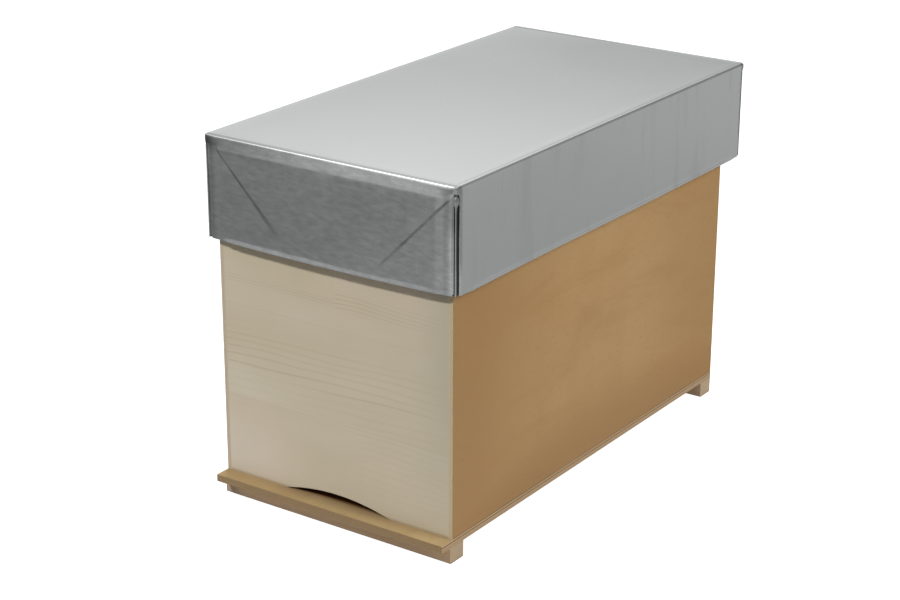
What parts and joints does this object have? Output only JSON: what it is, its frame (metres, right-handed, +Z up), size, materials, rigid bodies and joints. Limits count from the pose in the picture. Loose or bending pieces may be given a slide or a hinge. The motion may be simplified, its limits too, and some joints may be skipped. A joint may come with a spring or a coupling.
{
  "type": "nuc box",
  "caption": "Small wooden nucleus hive with a loose folded sheet-metal roof, inner cover, arched entrance, landing lip and hanging frames.",
  "frame": {"origin": "on the ground under the middle of the whole outline (landing lip and roof included)", "axes": "+Z up, -Y towards the entrance and landing lip, +X to the right for a viewer who faces the entrance"},
  "size_m": [0.2562, 0.4814, 0.327],
  "materials": {
    "spruce": "bare planed edge-glued spruce",
    "side_ply": "bare sanded plywood",
    "floor_ply": "bare plywood, dark core at the edge",
    "cover_ply": "bare plywood",
    "batten_wood": "bare sawn softwood",
    "frame_wood": "bare planed limewood",
    "galvanised_sheet": "satin zinc-coated sheet with faint spangle",
    "softboard": "soft wood-fibre board",
    "beeswax": "embossed beeswax sheet, modelled as a soft matte solid",
    "steel": "bright zinc-plated steel"
  },
  "bodies": {
    "box": {"front_wall": "spruce", "rear_wall": "spruce", "left_side": "side_ply", "right_side": "side_ply", "floor_board": "floor_ply", "front_batten": "batten_wood", "rear_batten": "batten_wood", "front_rest_rail": "galvanised_sheet", "rear_rest_rail": "galvanised_sheet", "side_brads": "steel", "batten_screws": "steel", "rail_tacks": "steel"},
    "frame_1": {"frame_1_top_bar": "frame_wood", "frame_1_front_end_bar": "frame_wood", "frame_1_rear_end_bar": "frame_wood", "frame_1_bottom_bar": "frame_wood", "frame_1_foundation": "beeswax", "frame_1_wires": "steel"},
    "frame_2": {"frame_2_top_bar": "frame_wood", "frame_2_front_end_bar": "frame_wood", "frame_2_rear_end_bar": "frame_wood", "frame_2_bottom_bar": "frame_wood", "frame_2_foundation": "beeswax", "frame_2_wires": "steel"},
    "frame_3": {"frame_3_top_bar": "frame_wood", "frame_3_front_end_bar": "frame_wood", "frame_3_rear_end_bar": "frame_wood", "frame_3_bottom_bar": "frame_wood", "frame_3_foundation": "beeswax", "frame_3_wires": "steel"},
    "frame_4": {"frame_4_top_bar": "frame_wood", "frame_4_front_end_bar": "frame_wood", "frame_4_rear_end_bar": "frame_wood", "frame_4_bottom_bar": "frame_wood", "frame_4_foundation": "beeswax", "frame_4_wires": "steel"},
    "frame_5": {"frame_5_top_bar": "frame_wood", "frame_5_front_end_bar": "frame_wood", "frame_5_rear_end_bar": "frame_wood", "frame_5_bottom_bar": "frame_wood", "frame_5_foundation": "beeswax", "frame_5_wires": "steel"},
    "frame_6": {"frame_6_top_bar": "frame_wood", "frame_6_front_end_bar": "frame_wood", "frame_6_rear_end_bar": "frame_wood", "frame_6_bottom_bar": "frame_wood", "frame_6_foundation": "beeswax", "frame_6_wires": "steel"},
    "cover": {"cover_board": "cover_ply", "front_cleat": "batten_wood", "rear_cleat": "batten_wood", "pivot_screw": "steel"},
    "shutter": {"feed_shutter": "galvanised_sheet"},
    "roof": {"roof_sheet": "galvanised_sheet", "roof_liner": "softboard"}
  },
  "joints": [
    {"name": "frame_1_lift", "type": "slide", "parent": "box", "child": "frame_1", "axis": [0, 0, 1], "range_m": [0, 0.28]},
    {"name": "frame_2_lift", "type": "slide", "parent": "box", "child": "frame_2", "axis": [0, 0, 1], "range_m": [0, 0.28]},
    {"name": "frame_3_lift", "type": "slide", "parent": "box", "child": "frame_3", "axis": [0, 0, 1], "range_m": [0, 0.28]},
    {"name": "frame_4_lift", "type": "slide", "parent": "box", "child": "frame_4", "axis": [0, 0, 1], "range_m": [0, 0.28]},
    {"name": "frame_5_lift", "type": "slide", "parent": "box", "child": "frame_5", "axis": [0, 0, 1], "range_m": [0, 0.28]},
    {"name": "frame_6_lift", "type": "slide", "parent": "box", "child": "frame_6", "axis": [0, 0, 1], "range_m": [0, 0.28]},
    {"name": "cover_lift", "type": "slide", "parent": "frame_1", "child": "cover", "axis": [0, 0, 1], "range_m": [0, 0.12]},
    {"name": "shutter_swing", "type": "hinge", "parent": "cover", "child": "shutter", "pos_m": [0, 0.0393, 0.3112], "axis": [0, 0, 1], "range_deg": [0, 110]},
    {"name": "roof_lift", "type": "slide", "parent": "cover", "child": "roof", "axis": [0, 0, 1], "range_m": [0, 0.14]}
  ],
  "couplings": [
    {"joint": "frame_2_lift", "follows": "frame_1_lift", "ratio": 1},
    {"joint": "frame_3_lift", "follows": "frame_1_lift", "ratio": 1},
    {"joint": "frame_4_lift", "follows": "frame_1_lift", "ratio": 1},
    {"joint": "frame_5_lift", "follows": "frame_1_lift", "ratio": 1},
    {"joint": "frame_6_lift", "follows": "frame_1_lift", "ratio": 1}
  ]
}
